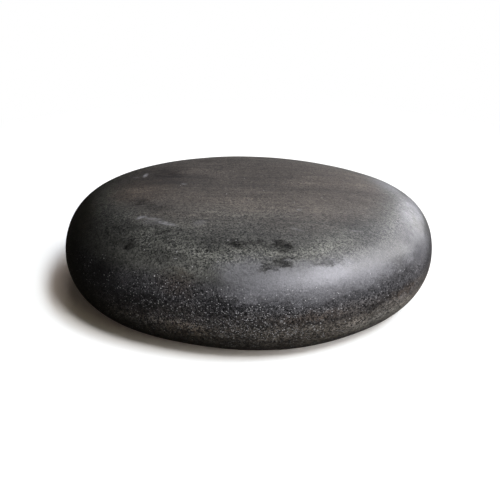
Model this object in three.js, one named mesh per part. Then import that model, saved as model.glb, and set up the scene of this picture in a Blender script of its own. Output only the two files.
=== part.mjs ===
// Basalt massage stone.
//
// One piece of dense basalt, tumbled and polished to a low oval disc: a broad,
// slightly crowned top, a full rounded side and a flatter underside that rests
// on a small honed flat.  Nothing is fastened to it and nothing on it moves, so
// the group holds a single solid.
//
// Units are millimetres, +Z is up.  The origin is the middle of the resting
// flat's plane under the centre of the stone's bounding box; +X runs along the
// stone's length and +Y across its width.

import * as THREE from 'three';

// ---------------------------------------------------------------- dimensions

const LENGTH = 90.0;            // overall, along X
const HALF = LENGTH / 2.05361;  // half-length of the plain oval that the shape is built on

const PLAN_WIDTH = 0.8328;      // oval's width over its length
const PLAN_POWER = 2.4302;      // 2 is an ellipse, more is fuller at the corners

// Slow departures of the outline from the oval, as shares of the radius: a
// blunter end, a fuller quarter and a faint three-sidedness, as a river leaves.
const PLAN_WAVES = [
  // waves per turn, cosine share, sine share
  [1, -0.0687, 0.0551],
  [2, -0.0048, 0.0031],
  [3, -0.0051, 0.0128],
  [4, 0.0258, 0.0059],
];

const THICKNESS = 0.6821 * HALF;        // before the resting flat is honed off
const TOP_SHARE = 0.5141;               // of the thickness, above the widest line
const TOP_POWER = 4.675;                // how flat the crown is: 2 is an ellipse
const UNDER_POWER = 5.864;              // the underside is flatter still
const REST_FLAT_DEPTH = 0.009 * HALF;   // honed off the bottom, leaving the flat

const WEDGE_X = -0.0311;                // the top leans by this much along X
const WEDGE_Y = -0.0281;                // and by this much along Y

// Broad shallow swells and hollows over the crown, in millimetres of height.
const SWELLS = [
  // height, wavelength, direction in degrees, phase
  [0.10, 58, 20, 0.6],
  [0.08, 41, 105, 2.1],
  [0.04, 29, 65, 4.0],
];

// Fineness of the surface.
const AROUND = 72;              // points round the stone
const RINGS_TOP = 19;           // rings from the widest line to the crown's centre
const RINGS_UNDER = 14;         // rings from the widest line down to the flat

// ------------------------------------------------------------------- surface

// Radius of the plan outline in direction theta.
function planRadius(theta) {
  const c = Math.abs(Math.cos(theta));
  const s = Math.abs(Math.sin(theta) / PLAN_WIDTH);
  let r = HALF * Math.pow(Math.pow(c, PLAN_POWER) + Math.pow(s, PLAN_POWER), -1 / PLAN_POWER);
  let share = 1;
  for (const [k, a, b] of PLAN_WAVES) {
    share += a * Math.cos(k * theta) + b * Math.sin(k * theta);
  }
  return r * share;
}

const TOP_RISE = THICKNESS * TOP_SHARE;
const UNDER_DROP = THICKNESS * (1 - TOP_SHARE);

// Profile from the axis out to the widest line and back, by an angle u from
// -90 degrees (underside) through 0 (widest line) to +90 degrees (crown).
// reach^power + (rise / limit)^2 = 1 on either side of the widest line.
function profile(u) {
  const power = u >= 0 ? TOP_POWER : UNDER_POWER;
  const limit = u >= 0 ? TOP_RISE : UNDER_DROP;
  return {
    reach: Math.pow(Math.max(Math.cos(u), 0), 2 / power),
    rise: limit * Math.sin(u),
  };
}

// A point of the stone's skin.
function skin(theta, u) {
  const { reach, rise } = profile(u);
  const r = planRadius(theta) * reach;
  const x = r * Math.cos(theta);
  const y = r * Math.sin(theta);
  let z = Math.max(UNDER_DROP + rise - REST_FLAT_DEPTH, 0);
  const up = z / THICKNESS;
  z += (WEDGE_X * x + WEDGE_Y * y) * up;
  for (const [h, length, direction, phase] of SWELLS) {
    const d = THREE.MathUtils.degToRad(direction);
    const along = (x * Math.cos(d) + y * Math.sin(d)) / length;
    z += h * Math.sin(2 * Math.PI * along + phase) * up * up;
  }
  return new THREE.Vector3(x, y, z);
}

// Angles between two ends of the profile, closer together where it turns
// quickly and spread out over its flatter runs.
function stations(from, to, count) {
  const fine = 600;
  const sum = [0];
  let before = null;
  let heading = null;
  for (let i = 0; i <= fine; i++) {
    const u = from + ((to - from) * i) / fine;
    const { reach, rise } = profile(u);
    const at = { x: reach * HALF, z: rise };
    if (before) {
      const step = Math.hypot(at.x - before.x, at.z - before.z);
      const way = Math.atan2(at.z - before.z, at.x - before.x);
      const turn = heading === null ? 0 : Math.abs(Math.atan2(Math.sin(way - heading), Math.cos(way - heading)));
      sum.push(sum[sum.length - 1] + step / HALF + 0.9 * turn);
      heading = way;
    }
    before = at;
  }
  const total = sum[sum.length - 1];
  const out = [];
  let j = 0;
  for (let k = 0; k <= count; k++) {
    const want = (total * k) / count;
    while (j < fine - 1 && sum[j + 1] < want) j++;
    const part = (want - sum[j]) / (sum[j + 1] - sum[j]);
    out.push(from + ((to - from) * (j + Math.min(Math.max(part, 0), 1))) / fine);
  }
  return out;
}

// Rings from the edge of the resting flat up to just below the crown's centre.
const flatEdge = Math.asin(REST_FLAT_DEPTH / UNDER_DROP - 1);
const under = stations(0, flatEdge, RINGS_UNDER).reverse();      // flat's edge ... widest line
const top = stations(0, Math.PI / 2, RINGS_TOP).slice(1, -1);    // above it ... near the centre
const levels = [...under, ...top];

function stoneGeometry() {
  const points = [];
  for (const u of levels) {
    for (let i = 0; i < AROUND; i++) {
      points.push(skin((2 * Math.PI * i) / AROUND, u));
    }
  }
  const bottom = points.push(new THREE.Vector3(0, 0, 0)) - 1;
  const crown = points.push(skin(0, Math.PI / 2)) - 1;

  // The resting flat is one exact plane.
  for (let i = 0; i < AROUND; i++) points[i].z = 0;

  // Middle of the bounding box over the origin.
  const box = new THREE.Box3().setFromPoints(points);
  const shiftX = (box.min.x + box.max.x) / 2;
  const shiftY = (box.min.y + box.max.y) / 2;
  for (const p of points) {
    p.x -= shiftX;
    p.y -= shiftY;
  }

  const faces = [];
  const id = (level, i) => level * AROUND + (i % AROUND);
  for (let i = 0; i < AROUND; i++) {
    faces.push(bottom, id(0, i + 1), id(0, i));
  }
  for (let level = 0; level < levels.length - 1; level++) {
    for (let i = 0; i < AROUND; i++) {
      const a = id(level, i);
      const b = id(level, i + 1);
      const c = id(level + 1, i + 1);
      const d = id(level + 1, i);
      // the diagonal alternates, so that the facets have no sense of turning
      if ((level + i) % 2) faces.push(a, b, c, a, c, d);
      else faces.push(a, b, d, b, c, d);
    }
  }
  const last = levels.length - 1;
  for (let i = 0; i < AROUND; i++) {
    faces.push(crown, id(last, i), id(last, i + 1));
  }

  const geometry = new THREE.BufferGeometry();
  geometry.setAttribute('position', new THREE.Float32BufferAttribute(points.flatMap((p) => [p.x, p.y, p.z]), 3));
  geometry.setIndex(faces);
  geometry.computeVertexNormals();
  return geometry;
}

// --------------------------------------------------------------------- stone

const basalt = new THREE.MeshStandardMaterial({
  name: 'basalt',
  color: 0x34312f,   // dark warm grey
  roughness: 0.55,   // satin, as tumbling leaves it
  metalness: 0.0,
});

const stone = new THREE.Mesh(stoneGeometry(), basalt);
stone.name = 'basalt_stone';

const group = new THREE.Group();
group.name = 'basalt_massage_stone';
group.add(stone);

export default group;
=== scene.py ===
"""Looks for the basalt massage stone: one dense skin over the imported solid, its
procedural basalt, the floor, the lights and the camera.  Lengths are metres."""

import math

import bpy
import numpy as np
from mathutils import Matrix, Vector


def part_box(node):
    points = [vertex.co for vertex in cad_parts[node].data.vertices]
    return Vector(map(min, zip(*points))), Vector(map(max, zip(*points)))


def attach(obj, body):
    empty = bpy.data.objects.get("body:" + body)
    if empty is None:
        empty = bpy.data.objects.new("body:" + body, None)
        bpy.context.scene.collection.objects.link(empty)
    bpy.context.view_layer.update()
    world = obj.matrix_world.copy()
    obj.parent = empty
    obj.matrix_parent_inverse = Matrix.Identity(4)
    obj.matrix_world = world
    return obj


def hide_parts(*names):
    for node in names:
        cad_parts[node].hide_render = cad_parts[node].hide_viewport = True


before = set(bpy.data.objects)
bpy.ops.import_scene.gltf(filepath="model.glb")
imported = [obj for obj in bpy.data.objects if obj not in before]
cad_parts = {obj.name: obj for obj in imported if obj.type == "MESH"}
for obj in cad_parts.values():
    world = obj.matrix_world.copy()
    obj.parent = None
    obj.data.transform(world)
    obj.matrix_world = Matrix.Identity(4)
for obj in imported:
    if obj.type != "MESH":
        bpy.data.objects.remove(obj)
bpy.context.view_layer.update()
scene = bpy.context.scene

# ------------------------------------------------------------------ the frame

NODE = "basalt_stone"
low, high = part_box(NODE)
MID = (low + high) / 2
SIZE = high - low
LENGTH = SIZE.x

# ------------------------------------------------------- the stone's own shape
# The same oval, profile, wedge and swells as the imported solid, in millimetres.

HALF = 90.0 / 2.05361
PLAN_WIDTH, PLAN_POWER = 0.8328, 2.4302
PLAN_WAVES = ((1, -0.0687, 0.0551), (2, -0.0048, 0.0031), (3, -0.0051, 0.0128), (4, 0.0258, 0.0059))
THICKNESS = 0.6821 * HALF
TOP_RISE = THICKNESS * 0.5141
UNDER_DROP = THICKNESS - TOP_RISE
TOP_POWER, UNDER_POWER = 4.675, 5.864
REST_FLAT_DEPTH = 0.009 * HALF
WEDGE_X, WEDGE_Y = -0.0311, -0.0281
SWELLS = ((0.10, 58, 20, 0.6), (0.08, 41, 105, 2.1), (0.04, 29, 65, 4.0))


def profile(u):
    top = u >= 0
    power = np.where(top, TOP_POWER, UNDER_POWER)
    limit = np.where(top, TOP_RISE, UNDER_DROP)
    return np.maximum(np.cos(u), 0) ** (2 / power), limit * np.sin(u)


def skin(theta, u):
    """Points of the plain stone, in millimetres, as n x 3."""
    c = np.abs(np.cos(theta)) ** PLAN_POWER + np.abs(np.sin(theta) / PLAN_WIDTH) ** PLAN_POWER
    r = HALF * c ** (-1 / PLAN_POWER)
    share = np.ones_like(theta)
    for k, a, b in PLAN_WAVES:
        share += a * np.cos(k * theta) + b * np.sin(k * theta)
    reach, rise = profile(u)
    x = r * share * reach * np.cos(theta)
    y = r * share * reach * np.sin(theta)
    z = np.maximum(UNDER_DROP + rise - REST_FLAT_DEPTH, 0)
    up = z / THICKNESS
    z = z + (WEDGE_X * x + WEDGE_Y * y) * up
    for h, wave, direction, phase in SWELLS:
        d = math.radians(direction)
        z = z + h * np.sin(2 * math.pi * (x * math.cos(d) + y * math.sin(d)) / wave + phase) * up * up
    return np.stack([x, y, z], -1)


def cube_sphere(n):
    """Unit directions and quads of a sphere made of six n x n patches, shared along their edges."""
    t = np.tan(np.linspace(-math.pi / 4, math.pi / 4, n + 1))
    a, b = np.meshgrid(t, t, indexing="ij")
    one = np.ones_like(a)
    sides = [
        (one, a, b), (-one, b, a), (b, one, a), (a, -one, b), (a, b, one), (b, a, -one),
    ]
    points, quads = [], []
    for k, (x, y, z) in enumerate(sides):
        points.append(np.stack([x, y, z], -1).reshape(-1, 3))
        i, j = np.meshgrid(np.arange(n), np.arange(n), indexing="ij")
        at = (i * (n + 1) + j + k * (n + 1) ** 2).ravel()
        quads.append(np.stack([at, at + (n + 1), at + (n + 2), at + 1], -1))
    points = np.concatenate(points)
    quads = np.concatenate(quads)
    points /= np.linalg.norm(points, axis=1, keepdims=True)
    _, first, same = np.unique(np.round(points, 7), axis=0, return_index=True, return_inverse=True)
    return points[first], same.ravel()[quads]


class Noise:
    """Smooth seeded gradient noise over points, about -1 to 1."""

    def __init__(self, seed):
        rng = np.random.RandomState(seed)
        self.table = rng.permutation(256)
        g = rng.normal(size=(256, 3))
        self.slopes = g / np.linalg.norm(g, axis=1, keepdims=True)

    def __call__(self, p):
        base = np.floor(p).astype(int)
        f = p - base
        w = f * f * f * (f * (f * 6 - 15) + 10)
        total = np.zeros(len(p))
        for dx in (0, 1):
            for dy in (0, 1):
                for dz in (0, 1):
                    c = base + (dx, dy, dz)
                    h = self.table[(self.table[(self.table[c[:, 0] & 255] + c[:, 1]) & 255] + c[:, 2]) & 255]
                    part = ((f - (dx, dy, dz)) * self.slopes[h]).sum(1)
                    wx = w[:, 0] if dx else 1 - w[:, 0]
                    wy = w[:, 1] if dy else 1 - w[:, 1]
                    wz = w[:, 2] if dz else 1 - w[:, 2]
                    total += part * wx * wy * wz
        return total * 1.6


def build_stone(n=128):
    directions, quads = cube_sphere(n)
    theta = np.arctan2(directions[:, 1], directions[:, 0])
    phi = np.arcsin(np.clip(directions[:, 2], -1, 1))
    # even steps along the profile's own length, from the underside to the crown
    us = np.linspace(-math.pi / 2, math.pi / 2, 20001)
    reach, rise = profile(us)
    run = np.concatenate([[0], np.cumsum(np.hypot(np.diff(reach * HALF), np.diff(rise)))])
    u = np.interp((phi / math.pi + 0.5) * run[-1], run, us)
    p = skin(theta, u)

    # outward normals of the plain surface
    a, b, c, d = (p[quads[:, k]] for k in range(4))
    face = np.cross(c - a, d - b)
    normal = np.zeros_like(p)
    for k in range(4):
        np.add.at(normal, quads[:, k], face)
    normal /= np.linalg.norm(normal, axis=1, keepdims=True)
    if (normal * (p - p.mean(0))).sum() < 0:
        normal = -normal
        quads = quads[:, ::-1]

    # relief, in millimetres
    relief = 0.10 * Noise(11)(p / 24) + 0.035 * Noise(12)(p / 9) + 0.010 * Noise(13)(p / 3.2)
    flat = p[:, 2] < 1e-6
    relief[flat] = np.minimum(relief[flat], 0) * 0.3
    q = p + normal * relief[:, None]

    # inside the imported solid's box, touching it where the stone is widest
    box_low, box_high = np.array(low) * 1000, np.array(high) * 1000
    q_low, q_high = q.min(0), q.max(0)
    q = (q - q_low) / (q_high - q_low) * (box_high - box_low) + box_low

    mesh = bpy.data.meshes.new("stone_skin")
    mesh.vertices.add(len(q))
    mesh.vertices.foreach_set("co", (q / 1000).astype(np.float32).ravel())
    mesh.loops.add(quads.size)
    mesh.loops.foreach_set("vertex_index", quads.astype(np.int32).ravel())
    mesh.polygons.add(len(quads))
    mesh.polygons.foreach_set("loop_start", np.arange(0, quads.size, 4, dtype=np.int32))
    mesh.polygons.foreach_set("loop_total", np.full(len(quads), 4, np.int32))
    mesh.update(calc_edges=True)
    mesh.validate()
    mesh.polygons.foreach_set("use_smooth", np.ones(len(mesh.polygons), bool))
    obj = bpy.data.objects.new("stone_skin", mesh)
    scene.collection.objects.link(obj)
    return obj


stone = build_stone()

# --------------------------------------------------------------------- basalt


class Graph:
    """Short names for the nodes of one material. Coordinates are object millimetres."""

    def __init__(self, mat):
        mat.use_nodes = True
        self.tree = mat.node_tree
        self.bsdf = self.tree.nodes["Principled BSDF"]
        place = self.tree.nodes.new("ShaderNodeTexCoord").outputs["Object"]
        self.mm = self.vector("SCALE", place, scale=1000.0)
        parts = self.node("ShaderNodeSeparateXYZ", Vector=self.mm)
        self.x, self.y, self.z = (parts.outputs[k] for k in "XYZ")

    def put(self, socket, value):
        if isinstance(value, bpy.types.NodeSocket):
            self.tree.links.new(value, socket)
        else:
            socket.default_value = value

    def node(self, kind, settings=None, **inputs):
        node = self.tree.nodes.new(kind)
        for key, value in (settings or {}).items():
            setattr(node, key, value)
        for key, value in inputs.items():
            self.put(node.inputs[key], value)
        return node

    def vector(self, op, a, b=None, scale=None):
        node = self.node("ShaderNodeVectorMath", {"operation": op})
        self.put(node.inputs[0], a)
        if b is not None:
            self.put(node.inputs[1], b)
        if scale is not None:
            self.put(node.inputs["Scale"], scale)
        return node.outputs[0]

    def math(self, op, a, b=None, c=None, clamp=False):
        node = self.node("ShaderNodeMath", {"operation": op, "use_clamp": clamp})
        for socket, value in zip(node.inputs, (a, b, c)):
            if value is not None:
                self.put(socket, value)
        return node.outputs[0]

    def add(self, *terms):
        total = terms[0]
        for term in terms[1:]:
            total = self.math("ADD", total, term)
        return total

    def mul(self, *terms):
        total = terms[0]
        for term in terms[1:]:
            total = self.math("MULTIPLY", total, term)
        return total

    def step(self, value, start, end, low=0.0, high=1.0):
        """Smooth change from low to high as value goes from start to end."""
        node = self.node("ShaderNodeMapRange", {"interpolation_type": "SMOOTHSTEP"}, Value=value)
        for name, number in (("From Min", start), ("From Max", end), ("To Min", low), ("To Max", high)):
            self.put(node.inputs[name], number)
        return node.outputs["Result"]

    def line(self, value, start, end, low=0.0, high=1.0):
        node = self.node("ShaderNodeMapRange", {"clamp": True}, Value=value)
        for name, number in (("From Min", start), ("From Max", end), ("To Min", low), ("To Max", high)):
            self.put(node.inputs[name], number)
        return node.outputs["Result"]

    def at(self, size, shift, turn=(0, 0, 0)):
        """Coordinates in which a feature of the given size, in millimetres, is one unit."""
        size = (size,) * 3 if isinstance(size, (int, float)) else size
        node = self.node("ShaderNodeMapping", {"vector_type": "POINT"}, Vector=self.mm)
        node.inputs["Scale"].default_value = tuple(1 / s for s in size)
        node.inputs["Location"].default_value = (shift, shift * 1.7, -shift * 0.6)
        node.inputs["Rotation"].default_value = tuple(math.radians(t) for t in turn)
        return node.outputs[0]

    def noise(self, size, shift, detail=2.0, rough=0.5, distort=0.0, turn=(0, 0, 0)):
        """Noise, about -1 to 1."""
        node = self.node("ShaderNodeTexNoise", Vector=self.at(size, shift, turn), Scale=1.0)
        node.inputs["Detail"].default_value = detail
        node.inputs["Roughness"].default_value = rough
        node.inputs["Distortion"].default_value = distort
        return self.line(node.outputs["Fac"], 0.22, 0.78, -1.0, 1.0)

    def cells(self, size, shift, jitter=1.0):
        """Crystals: a random number 0 to 1 for each, another one, and the distance to its middle in millimetres."""
        node = self.node("ShaderNodeTexVoronoi", {"feature": "F1"}, Vector=self.at(size, shift), Scale=1.0)
        node.inputs["Randomness"].default_value = jitter
        parts = self.node("ShaderNodeSeparateColor", Color=node.outputs["Color"])
        return parts.outputs[0], parts.outputs[1], self.mul(node.outputs["Distance"], float(size))

    def spot(self, centre, radii, turn=(0, 0, 0), warp=None):
        """1 at the middle of an ellipsoid in millimetres, 0 at its skin."""
        at = self.mm if warp is None else warp
        node = self.node("ShaderNodeMapping", {"vector_type": "TEXTURE"}, Vector=at)
        node.inputs["Location"].default_value = centre
        node.inputs["Scale"].default_value = radii
        node.inputs["Rotation"].default_value = tuple(math.radians(t) for t in turn)
        return self.node("ShaderNodeTexGradient", {"gradient_type": "SPHERICAL"}, Vector=node.outputs[0]).outputs["Fac"]

    def mix(self, share, a, b):
        node = self.node("ShaderNodeMix", {"data_type": "RGBA", "clamp_factor": True})
        self.put(node.inputs[0], share)
        self.put(node.inputs[6], a if isinstance(a, bpy.types.NodeSocket) else (*a, 1))
        self.put(node.inputs[7], b if isinstance(b, bpy.types.NodeSocket) else (*b, 1))
        return node.outputs[2]

    def ramp(self, value, stops):
        node = self.node("ShaderNodeValToRGB", Fac=value)
        ramp = node.color_ramp
        ramp.interpolation = "B_SPLINE" if len(stops[0][1]) == 0 else "EASE"
        while len(ramp.elements) < len(stops):
            ramp.elements.new(0.5)
        for element, (at, colour) in zip(ramp.elements, stops):
            element.position = at
            element.color = (*colour, 1)
        return node.outputs["Color"]


def basalt():
    mat = bpy.data.materials.new("basalt_skin")
    g = Graph(mat)

    # height on the stone with the wedge taken out, and its edges made uneven
    level = g.mul(g.z, g.add(g.mul(g.x, 0.00104), g.mul(g.y, 0.00094), 1.0))
    drift = g.noise((22, 22, 9), 3.1, 3, 0.55)
    uneven = g.add(level, g.mul(drift, 1.3))

    # the matrix: warm and worn smooth on the crown, greener on the shoulder,
    # nearly black round the widest line, browner and lighter near the foot, where the lighter underside is partly
    # painted bounce light from the table
    side = g.ramp(g.math("DIVIDE", uneven, 31.0), SIDE_COLOURS)
    crown = g.mul(
        g.step(g.add(level, g.mul(g.noise((30, 8, 8), 7.7, 3, 0.6), 0.8)), 26.8, 29.0),
        g.step(g.add(g.y, g.mul(g.noise((28, 7, 7), 1.9, 3, 0.6), 6.0)), -30.0, -8.0),
    )
    colour = g.mix(crown, side, CROWN_COLOUR)

    # clouds and streaks that run along the stone, as powers of e
    on_top = g.step(level, 25.5, 28.8)
    clouds = g.noise((26, 17, 15), 12.3, 3, 0.55)
    streaks = g.noise((24, 3.6, 5.0), 5.2, 4, 0.62, turn=(0, 0, 3))
    hairs = g.noise((7.5, 0.75, 1.6), 8.8, 3, 0.6, turn=(0, 0, 2))
    bands = g.noise((19, 19, 2.1), 21.4, 4, 0.6)
    mottle = g.noise((6.5, 6.5, 3.2), 17.6, 4, 0.62)
    foot = g.math("SUBTRACT", 1.0, g.step(uneven, 9.5, 13.5))
    tone = g.add(
        g.mul(clouds, 0.12),
        g.mul(streaks, on_top, 0.50),
        g.mul(hairs, on_top, 0.34),
        g.mul(bands, g.math("SUBTRACT", 1.0, on_top), 0.36),
        g.mul(mottle, g.add(g.mul(foot, 0.46), 0.18)),
    )

    # crystals: dark grains, grey matrix and pale laths, strongest on the unpolished sides
    a, b, _ = g.cells(0.25, 2.3)
    c, d, _ = g.cells(0.37, 6.1)
    grain = g.add(
        g.mul(g.math("SUBTRACT", a, 0.5), 2.9),
        g.mul(g.math("SUBTRACT", c, 0.5), 1.7),
        g.mul(g.noise(0.9, 9.3, 2, 0.6), 0.16),
    )
    leftward = g.step(g.x, -18.0, 24.0, 1.55, 0.80)
    even = g.math("SUBTRACT", 1.0, g.mul(g.step(level, 21.5, 24.0), g.step(g.x, 2.0, -14.0, 0.0, 0.28)))
    patchy = g.mul(g.add(g.mul(g.noise((9, 7, 5), 14.2, 3, 0.6), 0.22), 1.0), leftward, even)
    side_grain = g.ramp(g.math("DIVIDE", uneven, 31.0), SIDE_GRAIN)
    crown_grain = g.mul(
        g.add(g.mul(g.noise((14, 5, 5), 33.0, 2, 0.5), 0.04), CROWN_GRAIN),
        g.step(g.y, -10.0, -22.0, 1.0, 1.35),
    )
    share = g.step(level, 26.0, 28.8)
    strength = g.add(g.mul(side_grain, g.math("SUBTRACT", 1.0, share)), g.mul(crown_grain, share))
    crystals = g.math("MAXIMUM", g.add(g.mul(grain, strength, patchy), 1.0), 0.10)

    # stains, darker than the matrix, with ragged edges
    ragged = g.vector("ADD", g.mm, g.vector("SCALE", g.vector("SUBTRACT", g.node(
        "ShaderNodeTexNoise", Vector=g.at((4.2, 2.0, 2.0), 4.4), Scale=1.0, Detail=5.0, Roughness=0.68,
    ).outputs["Color"], (0.5, 0.5, 0.5)), scale=7.5))
    # broad patches of rock tone, some of them painted shade, painted highlight or painted bounce light
    tone_and_light = None
    for centre, radii, turn, lift in TONE_AND_LIGHT_PATCHES:
        part = g.mul(g.step(g.spot(centre, radii, turn, ragged), 0.0, 0.8), lift)
        tone_and_light = part if tone_and_light is None else g.add(tone_and_light, part)
    stain = None
    for centre, radii, turn, depth in STAINS:
        part = g.mul(g.step(g.spot(centre, radii, turn, ragged), 0.0, 0.75), depth)
        stain = part if stain is None else g.add(stain, part)
    stain = g.mul(stain, g.line(g.noise((3.0, 1.1, 1.0), 37.5, 4, 0.65, turn=(0, 0, 6)), -0.75, 0.45, 0.15, 1.15))
    tone = g.math("SUBTRACT", tone, stain)

    # pale patches where the shoulder highlight and the right-rim sheen fall: painted highlight, partly a pale bloom
    # over the grain
    highlight_and_bloom = None
    for centre, radii, turn, depth in HIGHLIGHT_AND_BLOOM:
        part = g.mul(g.step(g.spot(centre, radii, turn, ragged), 0.0, 0.8), depth)
        highlight_and_bloom = part if highlight_and_bloom is None else g.math("MAXIMUM", highlight_and_bloom, part)
    factor = g.mul(g.math("EXPONENT", tone), crystals)
    colour = g.vector("SCALE", colour, scale=factor)
    sheen_and_film = g.mul(
        highlight_and_bloom,
        g.add(g.mul(grain, 0.10), g.mul(clouds, 0.15), 1.0),
        g.math("SUBTRACT", 1.0, g.mul(g.math("MINIMUM", stain, 1.0), 0.85)),
    )
    colour = g.mix(sheen_and_film, colour, HIGHLIGHT_AND_BLOOM_COLOUR)
    colour = g.vector("SCALE", colour, scale=g.math("EXPONENT", tone_and_light))
    for centre, radii, turn, share, tint in TINTS:
        spread = g.mul(g.step(g.spot(centre, radii, turn, ragged), 0.0, 0.8), share)
        colour = g.mix(spread, colour, g.vector("MULTIPLY", colour, tint))

    # coarser grey crystals and dark spots between them, near the foot
    h, k, off = g.cells(0.80, 5.9)
    blob = g.math("SUBTRACT", 1.0, g.step(off, 0.12, g.add(g.mul(k, 0.20), 0.24)))
    low = g.add(g.mul(g.step(g.spot((3.0, -35.0, 7.5), (20.0, 14.0, 8.0)), 0.0, 0.6), 0.80), g.mul(foot, 0.20))
    colour = g.mix(g.mul(blob, g.math("LESS_THAN", h, g.mul(low, 0.42)), 0.78), colour, COARSE_COLOUR)
    dark_spot = g.mul(blob, g.math("GREATER_THAN", h, g.math("SUBTRACT", 1.0, g.mul(low, 0.34))), 0.55)
    colour = g.vector("SCALE", colour, scale=g.math("SUBTRACT", 1.0, dark_spot))

    # pale plagioclase flecks, thickest in the dark band
    e, f, away = g.cells(0.35, 3.7)
    size = g.mul(g.add(g.mul(g.math("POWER", f, 3.0), 0.055), 0.100), g.add(g.mul(low, 0.20), 1.0))
    disc = g.math("SUBTRACT", 1.0, g.step(away, g.mul(size, 0.6), size))
    thick = g.ramp(g.math("DIVIDE", uneven, 31.0), FLECK_SHARE)
    crowd = g.add(
        g.mul(g.noise((11, 11, 4), 41.0, 2, 0.5), 0.35),
        g.mul(g.step(g.spot((3.0, -36.0, 8.5), (18.0, 12.0, 7.0)), 0.0, 0.8), 0.95),
        1.0,
    )
    # fewer flecks under the painted highlight and bloom
    clear = g.math("SUBTRACT", 1.0, g.mul(sheen_and_film, 0.8))
    chosen = g.math("LESS_THAN", e, g.mul(thick, crowd, clear, g.step(g.x, 6.0, 26.0, 1.0, 0.50), g.step(g.x, -38.0, -25.0, 0.35, 1.0)))
    fleck = g.mul(disc, chosen)
    # flecks on the left, away from the light, are made up to 2.15 times paler: painted glints; on the right they are
    # dimmed
    shine = g.mul(g.add(g.mul(f, 0.7), 0.6), g.step(g.x, -26.0, 14.0, 2.15, 1.0), g.step(g.x, 12.0, 32.0, 1.0, 0.78), g.add(g.mul(low, 0.18), 1.0))
    pale = g.vector("SCALE", g.mix(f, FLECK_COLOURS[0], FLECK_COLOURS[1]), scale=shine)
    colour = g.mix(fleck, colour, pale)

    # scuffs and scratches: faint mineral-coloured marks left by wear
    fine = g.vector("ADD", g.mm, g.vector("SCALE", g.vector("SUBTRACT", g.node(
        "ShaderNodeTexNoise", Vector=g.at(0.9, 6.6), Scale=1.0, Detail=2.0).outputs["Color"], (0.5, 0.5, 0.5)), scale=0.7))
    broken = g.line(g.noise((1.6, 0.5, 0.5), 11.5, 3, 0.7), -0.7, 0.5, 0.15, 1.0)
    scuff = None
    for centre, radii, turn, height in SCUFFS:
        part = g.mul(g.step(g.spot(centre, radii, turn, fine), 0.0, 0.8), height)
        scuff = part if scuff is None else g.math("MAXIMUM", scuff, part)
    scuff = g.mul(scuff, broken)
    colour = g.mix(scuff, colour, SCUFF_COLOUR)

    g.put(g.bsdf.inputs["Base Color"], colour)

    rough = g.add(
        ROUGHNESS,
        g.mul(g.step(g.add(level, g.mul(drift, 0.5)), 25.0, 28.6), 0.32),
        g.mul(g.noise(0.7, 19.0, 2, 0.5), 0.03),
        g.mul(streaks, 0.02),
        g.mul(foot, 0.05),
        g.mul(g.math("MINIMUM", stain, 1.0), 0.18),
        g.mul(scuff, 0.10),
    )
    g.put(g.bsdf.inputs["Roughness"], rough)

    g.put(g.bsdf.inputs["Specular IOR Level"], g.math("SUBTRACT", 0.5, g.mul(g.math("MINIMUM", stain, 1.0), 0.36)))

    # pores and crystal relief too fine for the mesh
    pore, pick, deep = g.cells(1.5, 8.1)
    pore_size = g.add(g.mul(pick, 0.22), 0.12)
    hollow = g.mul(
        g.math("SUBTRACT", 1.0, g.step(deep, g.mul(pore_size, 0.4), pore_size)),
        g.math("LESS_THAN", pore, 0.30),
    )
    height = g.add(
        g.mul(grain, g.add(g.mul(strength, 1.2), 0.12)),
        g.mul(hollow, -1.8),
        g.mul(g.noise(1.7, 27.0, 3, 0.6), 0.9),
    )
    bump = g.node("ShaderNodeBump", Height=height)
    bump.inputs["Strength"].default_value = 1.0
    bump.inputs["Distance"].default_value = BUMP_MM / 1000
    g.put(g.bsdf.inputs["Normal"], bump.outputs[0])
    return mat


# the lighter brown stops up to 0.30, on the underside, partly paint the bounce light of the table
SIDE_COLOURS = [
    (0.00, (0.040, 0.034, 0.026)),
    (0.16, (0.0450, 0.0400, 0.0302)),
    (0.30, (0.0632, 0.0562, 0.0445)),
    (0.40, (0.0350, 0.0318, 0.0275)),
    (0.50, (0.0250, 0.0245, 0.0240)),
    (0.60, (0.0300, 0.0295, 0.0285)),
    (0.72, (0.0515, 0.0518, 0.0435)),
    (0.84, (0.0574, 0.0582, 0.0480)),
    (0.93, (0.0478, 0.0473, 0.0395)),
]
CROWN_COLOUR = (0.0540, 0.0468, 0.0366)
SIDE_GRAIN = [(at, (v, v, v)) for at, v in (
    (0.0, 0.35), (0.15, 0.76), (0.27, 0.94), (0.40, 0.90), (0.51, 0.80), (0.61, 0.50), (0.70, 0.24), (0.76, 0.44), (0.82, 0.72), (0.92, 0.60))]
CROWN_GRAIN = 0.36
FLECK_SHARE = [(at, (v, v, v)) for at, v in (
    (0.0, 0.08), (0.20, 0.23), (0.33, 0.38), (0.45, 0.58), (0.57, 0.42), (0.68, 0.025), (0.90, 0.004))]
COARSE_COLOUR = (0.165, 0.160, 0.139)
FLECK_COLOURS = ((0.125, 0.125, 0.118), (0.245, 0.245, 0.232))
SCUFF_COLOUR = (0.250, 0.250, 0.244)
# colour of the painted highlight and pale bloom
HIGHLIGHT_AND_BLOOM_COLOUR = (0.129, 0.130, 0.130)
ROUGHNESS = 0.38
BUMP_MM = 0.020

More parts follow.
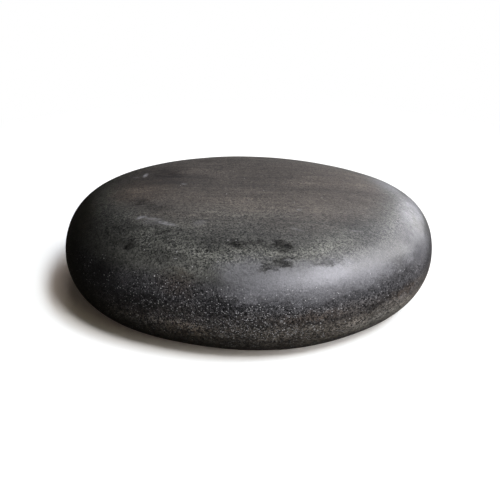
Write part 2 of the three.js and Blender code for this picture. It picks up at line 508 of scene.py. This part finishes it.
# centre, radii, turn in degrees, depth
STAINS = [
    ((7.3, -29.2, 27.5), (3.5, 2.4, 2.6), (0, 0, 0), 1.7),
    ((0.5, -29.3, 27.7), (7.5, 1.7, 2.0), (0, 0, 0), 0.65),
    ((3.6, -34.0, 24.5), (3.6, 3.0, 0.9), (0, 0, 8), 1.0),
    ((7.8, -32.6, 25.4), (4.4, 3.0, 1.5), (0, -6, 8), 1.45),
    ((16.5, -30.9, 24.3), (7.5, 3.2, 1.0), (0, 0, 12), 0.6),
    ((-27.1, -24.5, 25.5), (1.8, 1.6, 1.8), (0, 0, 0), 1.4),
    ((-19.5, -26.7, 26.9), (2.4, 2.4, 1.6), (0, 0, 0), 0.7),
    ((-3.2, -29.4, 27.7), (2.5, 1.5, 1.9), (0, 0, 0), 0.85),
    ((-24.5, -10.5, 29.5), (4.0, 3.0, 4.0), (0, 0, -34), 0.75),
    ((-20.5, -14.0, 29.6), (4.2, 1.5, 3.0), (0, 0, 0), 0.45),
    ((-18.5, -23.6, 28.5), (5.0, 1.8, 3.0), (0, 0, -4), 0.85),
    ((-10.9, 20.0, 28.6), (3.2, 2.4, 2.5), (0, 0, 0), 0.50),
    ((-20.6, 9.0, 29.3), (6.5, 5.0, 3.0), (0, 0, 0), 0.55),
]
# broad lighter and darker areas, as powers of e: partly tone of the rock, partly painted shade, painted highlight and
# painted bounce light where marked below
TONE_AND_LIGHT_PATCHES = [
    # painted shade and light: these three grade the crown from dark at the left to lighter at the right
    ((-24.0, 6.0, 28.5), (15.0, 12.0, 8.0), (0, 0, 0), -0.90),
    ((0.0, 8.0, 29.0), (16.0, 16.0, 6.0), (0, 0, 0), -0.27),
    ((22.0, 6.0, 29.0), (20.0, 18.0, 8.0), (0, 0, 0), 0.23),
    ((4.0, -13.0, 29.5), (30.0, 8.0, 8.0), (0, 0, 0), 0.33),
    ((27.0, -18.0, 28.0), (10.0, 8.0, 6.0), (0, 0, 0), -0.18),
    ((4.0, -26.0, 28.0), (24.0, 4.5, 3.0), (0, 0, 0), -0.24),
    # painted shade: these four darken the left end, which is turned away from the light
    ((-34.0, -14.0, 25.0), (10.0, 16.0, 6.0), (0, 0, 0), -0.42),
    ((-33.0, -20.0, 10.0), (9.0, 14.0, 6.0), (0, 0, 0), -0.75),
    ((-38.0, -8.0, 16.0), (6.0, 18.0, 9.0), (0, 0, 0), -0.70),
    ((-32.0, -25.5, 19.0), (6.0, 6.0, 4.0), (0, 0, 0), -0.60),
    ((-22.0, -28.0, 22.0), (12.0, 10.0, 4.0), (0, 0, 0), 0.33),
    ((-23.0, -28.0, 14.8), (14.0, 12.0, 3.6), (0, 0, 0), -0.75),
    ((-17.0, -31.0, 11.7), (7.0, 8.0, 2.4), (0, 0, 0), 0.55),
    # partly painted bounce light from the table low on the lit right side, partly lighter rock
    ((26.0, -32.0, 6.5), (14.0, 12.0, 4.0), (0, 0, 0), 0.48),
    ((7.0, -36.0, 7.0), (10.0, 10.0, 4.0), (0, 0, 0), 0.50),
    ((18.0, -35.0, 15.5), (28.0, 12.0, 3.6), (0, 0, 0), 0.42),
    ((-10.0, -25.0, 28.5), (10.0, 4.0, 2.0), (0, 0, 0), -0.14),
    ((-12.0, 15.0, 29.5), (12.0, 6.0, 6.0), (0, 0, 0), -0.13),
    ((-14.0, -4.0, 29.5), (14.0, 6.0, 6.0), (0, 0, 0), -0.15),
    ((17.0, -28.0, 26.0), (8.0, 5.0, 2.0), (0, 0, 0), 0.23),
    # smaller ones: the crown
    ((-16.0, 5.0, 29.6), (14.0, 6.0, 5.0), (0, 0, 0), -0.30),
    ((8.0, 18.0, 28.6), (12.0, 5.0, 4.0), (0, 0, 0), -0.20),
    ((-22.7, -9.8, 29.9), (4.0, 2.6, 3.0), (0, 0, 0), 0.25),
    ((-34.6, -8.5, 27.6), (5.0, 6.0, 3.0), (0, 0, 0), 0.22),
    ((-8.0, -18.2, 29.7), (18.0, 2.2, 3.0), (0, 0, 0), 0.25),
    ((14.0, -6.0, 29.3), (11.0, 4.0, 3.0), (0, 0, 0), 0.20),
    ((16.9, -25.9, 27.2), (5.5, 3.5, 2.5), (0, 0, 0), 0.28),
    ((22.4, -17.5, 28.1), (6.0, 6.0, 3.0), (0, 0, 0), -0.25),
    ((-24.4, -20.8, 28.3), (9.5, 1.8, 2.5), (0, 0, -6), -0.45),
    ((5.0, -23.4, 29.2), (18.0, 1.8, 2.5), (0, 0, 0), -0.38),
    # the shoulder
    ((-28.3, -23.7, 25.5), (5.5, 5.0, 3.2), (0, 0, 0), -0.45),
    ((-8.2, -28.9, 27.7), (6.5, 3.6, 2.2), (0, 0, 0), -0.42),
    ((-13.4, -32.0, 24.3), (6.0, 5.0, 3.2), (0, 0, 0), 0.35),
    ((27.1, -22.2, 25.3), (4.0, 4.0, 1.8), (0, 0, 0), -0.40),
    ((36.0, -14.5, 23.2), (6.0, 5.0, 1.8), (0, 0, 0), -0.45),
    ((38.8, -16.0, 18.7), (4.0, 6.0, 1.8), (0, 0, 0), -0.40),
    ((32.9, -23.3, 19.3), (5.0, 5.0, 2.0), (0, 0, 0), 0.30),
    ((-29.9, -27.3, 19.6), (4.5, 5.0, 2.0), (0, 0, 0), 0.35),
    # round the side
    ((11.4, -36.4, 16.6), (10.0, 5.0, 1.4), (0, 0, 0), -0.30),
    ((25.5, -30.5, 16.8), (12.0, 7.0, 1.7), (0, 0, 0), -0.55),
    ((-6.7, -37.2, 15.2), (7.5, 6.0, 2.6), (0, 0, 0), -0.85),
    ((-1.6, -37.2, 18.4), (8.0, 5.0, 1.8), (0, 0, 0), 0.35),
    ((27.5, -28.8, 12.2), (7.0, 6.0, 1.7), (0, 0, 0), -0.50),
    # partly painted bounce light from the table, partly lighter rock
    ((34.1, -22.9, 10.5), (6.0, 6.0, 3.0), (0, 0, 0), 0.50),
    ((-13.5, -35.0, 10.6), (6.0, 5.0, 1.9), (0, 0, 0), 0.50),
    ((-23.5, -31.7, 16.8), (4.5, 5.0, 1.6), (0, 0, 0), 0.35),
    # partly painted bounce light from the table, partly lighter rock
    ((35.0, -20.0, 7.0), (13.0, 12.0, 6.0), (0, 0, 0), 0.42),
    ((38.0, -17.0, 15.5), (6.0, 8.0, 3.0), (0, 0, 0), 0.35),
    ((-29.0, -19.0, 27.5), (6.0, 5.0, 3.0), (0, 0, 0), -0.42),
    ((33.5, -24.0, 13.2), (14.0, 12.0, 1.5), (0, 0, 0), -0.62),
    ((36.5, -20.0, 17.2), (6.0, 6.0, 1.7), (0, 0, 0), -0.30),
    ((36.0, -18.5, 20.5), (5.0, 5.0, 2.4), (0, 0, 0), 0.34),
    ((34.0, -23.0, 15.3), (8.0, 8.0, 1.4), (0, 0, 0), 0.22),
    # partly painted bounce light from the table, partly lighter rock
    ((27.0, -29.0, 6.0), (8.0, 8.0, 4.0), (0, 0, 0), 0.25),
    ((-2.0, -37.0, 15.8), (16.0, 8.0, 3.2), (0, 0, 0), -0.24),
    ((-8.0, -33.0, 24.5), (9.0, 6.0, 3.5), (0, 0, 0), 0.18),
    ((0.0, -28.5, 27.8), (14.0, 4.0, 2.2), (0, 0, 0), -0.16),
    ((-20.0, 15.0, 28.5), (9.0, 6.0, 4.0), (0, 0, 0), -0.26),
    ((-14.0, 3.0, 29.6), (13.0, 10.0, 4.0), (0, 0, 0), -0.15),
    ((26.0, -21.0, 27.4), (7.0, 4.0, 3.0), (0, 0, 0), -0.20),
    # painted shade on the left end
    ((-34.0, -24.3, 18.8), (5.0, 5.0, 3.0), (0, 0, 0), -0.30),
    ((-27.6, -29.5, 16.9), (4.0, 4.0, 2.0), (0, 0, 0), -0.30),
    ((-12.2, -33.9, 22.3), (5.0, 4.0, 2.6), (0, 0, 0), 0.22),
    ((-13.5, -35.4, 13.2), (5.0, 4.0, 2.4), (0, 0, 0), -0.28),
    ((-6.8, -31.2, 26.5), (3.2, 2.6, 2.0), (0, 0, 0), -0.28),
    # painted highlight: the sheen on the upper right rim
    ((39.0, -3.0, 25.3), (4.0, 8.0, 3.0), (0, 0, 0), 0.55),
    ((26.0, -14.0, 28.2), (10.0, 11.0, 4.0), (0, 0, 0), -0.10),
    ((10.0, 0.0, 29.6), (34.0, 20.0, 5.0), (0, 0, 0), -0.05),
    ((37.5, -13.0, 22.9), (5.0, 4.5, 1.8), (0, 0, 0), -0.28),
    ((39.5, -13.0, 13.5), (5.0, 8.0, 7.0), (0, 0, 0), 0.22),
    ((-20.0, -33.0, 15.6), (9.0, 8.0, 3.0), (0, 0, 0), -0.25),
    ((-25.0, -29.0, 9.0), (9.0, 9.0, 3.0), (0, 0, 0), -0.28),
    ((-30.0, -21.5, 26.6), (6.0, 4.0, 3.0), (0, 0, 0), -0.20),
    ((3.0, -36.0, 9.0), (20.0, 10.0, 7.0), (0, 0, 0), -0.48),
    # painted highlight: the sheen on the right rim
    ((40.2, -5.0, 22.6), (4.3, 14.0, 5.0), (0, 0, 0), 0.62),
    ((4.0, 17.0, 28.6), (16.0, 6.0, 4.0), (0, 0, 0), -0.12),
]
# iron-stained and olive patches
RUST, OLIVE = (1.16, 0.97, 0.80), (0.93, 1.0, 1.06)
TINTS = [
    ((-16.0, -34.0, 20.0), (6.5, 6.0, 4.0), (0, 0, 0), 0.60, RUST),
    ((-14.0, -34.0, 9.0), (9.0, 7.0, 3.2), (0, 0, 0), 0.36, RUST),
    ((14.0, -36.0, 13.0), (14.0, 6.0, 2.2), (0, 0, 0), 0.50, RUST),
    ((-26.0, 5.0, 28.5), (15.0, 21.0, 6.0), (0, 0, 0), 0.55, RUST),
    ((-38.0, -6.0, 22.0), (6.0, 14.0, 8.0), (0, 0, 0), 0.60, RUST),
    ((36.0, -21.0, 12.8), (9.0, 9.0, 1.8), (0, 0, 0), 0.70, RUST),
    ((31.0, -26.0, 6.0), (18.0, 14.0, 6.5), (0, 0, 0), 1.00, OLIVE),
]
# painted highlight and sheen on the lit shoulder and the right rim, partly a pale bloom left by drying, where the grain
# is clouded over
HIGHLIGHT_AND_BLOOM = [
    ((4.0, -35.0, 21.3), (14.5, 10.0, 6.0), (0, 0, 0), 0.78),
    ((-1.5, -34.0, 23.0), (8.5, 8.0, 4.8), (0, 0, 0), 0.70),
    ((12.0, -34.0, 19.0), (16.0, 10.0, 4.0), (0, 0, 0), 0.46),
    ((26.0, -30.0, 19.5), (16.0, 12.0, 4.2), (0, 0, 0), 0.50),
    ((39.0, -12.0, 20.0), (9.0, 16.0, 5.0), (0, 0, 0), 0.47),
    ((43.0, 3.0, 24.5), (8.5, 15.0, 6.5), (0, 0, 0), 0.95),
    ((36.0, 10.0, 27.5), (9.0, 10.0, 5.0), (0, 0, 0), 0.70),
    ((37.5, -6.0, 24.6), (5.5, 8.0, 3.0), (0, 0, 0), 0.40),
    ((17.0, -33.0, 21.5), (14.0, 9.0, 4.4), (0, 0, 0), 0.72),
]
SCUFFS = [
    ((-25.8, 8.6, 29.1), (0.75, 2.4, 2.0), (0, 0, -8), 1.00),
    ((-28.0, 7.6, 29.0), (1.2, 0.8, 2.0), (0, 0, -25), 0.36),
    ((-24.7, -17.4, 29.0), (2.0, 0.85, 2.0), (0, 0, 8), 1.00),
    ((-22.0, -18.6, 29.0), (3.8, 0.75, 2.0), (0, 0, -24), 0.55),
    ((-22.4, -19.6, 29.0), (4.2, 1.8, 2.0), (0, 0, -20), 0.22),
    ((-19.0, -20.9, 28.8), (4.0, 0.85, 2.0), (0, 0, -28), 0.75),
    ((-11.3, -21.6, 29.4), (2.6, 1.7, 2.0), (0, 0, 28), 0.24),
    ((-15.9, 0.6, 29.8), (1.0, 0.65, 2.0), (0, 0, -20), 0.70),
    ((11.2, -14.6, 29.4), (0.9, 0.8, 2.0), (0, 0, 0), 0.60),
    ((10.3, -23.9, 28.8), (2.6, 0.45, 2.0), (0, 0, -18), 0.26),
    ((23.8, -21.0, 27.0), (2.8, 0.40, 2.0), (0, 0, 14), 0.24),
]

stone.data.materials.append(basalt())
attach(stone, "root")
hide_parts(NODE)

# ---------------------------------------------------------------------- floor
# A pale table that turns evenly white away from the stone.

floor_mesh = bpy.data.meshes.new("floor")
w = 3.0
floor_mesh.from_pydata([(-w, -w, 0), (w, -w, 0), (w, w, 0), (-w, w, 0)], [], [(0, 1, 2, 3)])
floor = bpy.data.objects.new("floor", floor_mesh)
scene.collection.objects.link(floor)
floor_mat = bpy.data.materials.new("table")
floor_mat.use_nodes = True
t = floor_mat.node_tree
t.nodes.clear()
out = t.nodes.new("ShaderNodeOutputMaterial")
near, pale, far, dim = (t.nodes.new(k) for k in (
    "ShaderNodeMixShader", "ShaderNodeBsdfDiffuse", "ShaderNodeEmission", "ShaderNodeBsdfDiffuse"))
pale.inputs["Color"].default_value = (0.99, 0.99, 0.99, 1)
glow = t.nodes.new("ShaderNodeEmission")
glow.inputs["Color"].default_value = (0.025, 0.020, 0.016, 1)
table = t.nodes.new("ShaderNodeAddShader")
t.links.new(pale.outputs[0], table.inputs[0])
t.links.new(glow.outputs[0], table.inputs[1])
far.inputs["Color"].default_value = (1, 1, 1, 1)
dim.inputs["Color"].default_value = (0.019, 0.017, 0.0145, 1)
gap = t.nodes.new("ShaderNodeVectorMath")
gap.operation = "LENGTH"
t.links.new(t.nodes.new("ShaderNodeTexCoord").outputs["Object"], gap.inputs[0])
fade = t.nodes.new("ShaderNodeMapRange")
fade.interpolation_type = "SMOOTHSTEP"
fade.inputs["From Min"].default_value, fade.inputs["From Max"].default_value = 0.09, 0.16
t.links.new(gap.outputs["Value"], fade.inputs["Value"])
t.links.new(fade.outputs["Result"], near.inputs[0])
t.links.new(table.outputs[0], near.inputs[1])
t.links.new(far.outputs[0], near.inputs[2])
which = t.nodes.new("ShaderNodeMixShader")
t.links.new(t.nodes.new("ShaderNodeLightPath").outputs["Is Camera Ray"], which.inputs[0])
t.links.new(dim.outputs[0], which.inputs[1])
t.links.new(near.outputs[0], which.inputs[2])
t.links.new(which.outputs[0], out.inputs["Surface"])
floor.data.materials.append(floor_mat)

# --------------------------------------------------------------------- camera
# 25 degrees above the table, looking along +Y, 3.2 stone lengths away.

ELEVATION = math.radians(25.0)
DISTANCE = 3.1667 * LENGTH
AIM = Vector((MID.x, MID.y - 0.00162, low.z + 0.01336))
cam_data = bpy.data.cameras.new("camera")
cam_data.sensor_width = 36.0
cam_data.lens = 83.73
cam_data.clip_start = 0.01
camera = bpy.data.objects.new("camera", cam_data)
camera.location = AIM + DISTANCE * Vector((0, -math.cos(ELEVATION), math.sin(ELEVATION)))
camera.rotation_euler = (math.pi / 2 - ELEVATION, 0, 0)
scene.collection.objects.link(camera)
scene.camera = camera

# --------------------------------------------------------------------- lights
# The stone stands in one large soft window of light at its front right, made
# of round panels on a dome. Each row: azimuth, elevation and radiance. Azimuth
# 0 is +X, the camera's right, and 90 is behind the stone. The table under it
# is lit by soft distant lights of its own, so its shadow can be set apart.

REACH = 0.7
SPREAD = math.radians(9.0)
LIGHT_COLOUR = (1.01, 1.0, 1.09)
PANELS = [
    (0, 20, 8.5), (20, 20, 6.4), (40, 20, 7.4), (60, 20, 7.6), (300, 20, 9.2), (320, 20, 14.6), (340, 20, 12.5),
    (0, 34, 7.1), (20, 34, 2.7), (40, 34, 1.4), (60, 34, 0.5), (300, 34, 6.7), (320, 34, 13.2), (340, 34, 12.1),
    (0, 48, 2.8), (300, 48, 2.1), (330, 48, 7.7),
]
TABLE_LIGHTS = [
    # azimuth, elevation, width in degrees, share in R, G and B
    (300, 46, 11, 0.416, 0.415, 0.411),
    (312, 54, 11, 0.213, 0.250, 0.283),
    (324, 64, 11, 0.174, 0.180, 0.185),
    (0, 15, 24, 0.165, 0.167, 0.172),
    (330, 15, 24, 0.153, 0.143, 0.137),
    (300, 66, 24, 0.152, 0.128, 0.112),
    (288, 30, 11, 0.031, 0.026, 0.019),
    (300, 32, 24, 0.020, 0.022, 0.015),
]


def receiver(name, obj):
    """A collection that lets a light fall on one object only."""
    group = bpy.data.collections.new(name)
    group.objects.link(obj)
    return group


on_stone, on_table = receiver("lit_stone", stone), receiver("lit_table", floor)


def heading(azimuth, elevation):
    a, e = math.radians(azimuth), math.radians(elevation)
    return Vector((math.cos(e) * math.cos(a), math.cos(e) * math.sin(a), math.sin(e)))


def add_light(name, kind, direction, group):
    data = bpy.data.lights.new(name, kind)
    obj = bpy.data.objects.new(name, data)
    obj.location = Vector((MID.x, MID.y, 0.012)) + direction * REACH
    obj.rotation_euler = (-direction).to_track_quat("-Z", "Y").to_euler()
    obj.visible_camera = False
    obj.light_linking.receiver_collection = group
    scene.collection.objects.link(obj)
    return data


for k, (azimuth, elevation, radiance) in enumerate(PANELS):
    light = add_light("panel_%02d" % k, "AREA", heading(azimuth, elevation), on_stone)
    light.shape = "DISK"
    light.size = 2 * REACH * math.tan(SPREAD)
    light.energy = math.pi * math.pi * (light.size / 2) ** 2 * radiance
    light.color = tuple(c / max(LIGHT_COLOUR) for c in LIGHT_COLOUR)
    light.energy *= max(LIGHT_COLOUR)

for k, (azimuth, elevation, width, *share) in enumerate(TABLE_LIGHTS):
    light = add_light("table_%d" % k, "SUN", heading(azimuth, elevation), on_table)
    light.angle = math.radians(width)
    light.energy = math.pi / math.sin(math.radians(elevation)) * max(share)
    light.color = tuple(c / max(share) for c in share)

world = bpy.data.worlds.new("world")
world.use_nodes = True
w_tree = world.node_tree
back = w_tree.nodes["Background"]
back.inputs["Color"].default_value = (0.0042, 0.0040, 0.0036, 1)
white = w_tree.nodes.new("ShaderNodeBackground")
white.inputs["Color"].default_value = (1, 1, 1, 1)
choose = w_tree.nodes.new("ShaderNodeMixShader")
w_tree.links.new(w_tree.nodes.new("ShaderNodeLightPath").outputs["Is Camera Ray"], choose.inputs[0])
w_tree.links.new(back.outputs[0], choose.inputs[1])
w_tree.links.new(white.outputs[0], choose.inputs[2])
w_tree.links.new(choose.outputs[0], w_tree.nodes["World Output"].inputs["Surface"])
scene.world = world

scene.view_settings.view_transform = "Standard"
scene.view_settings.look = "None"
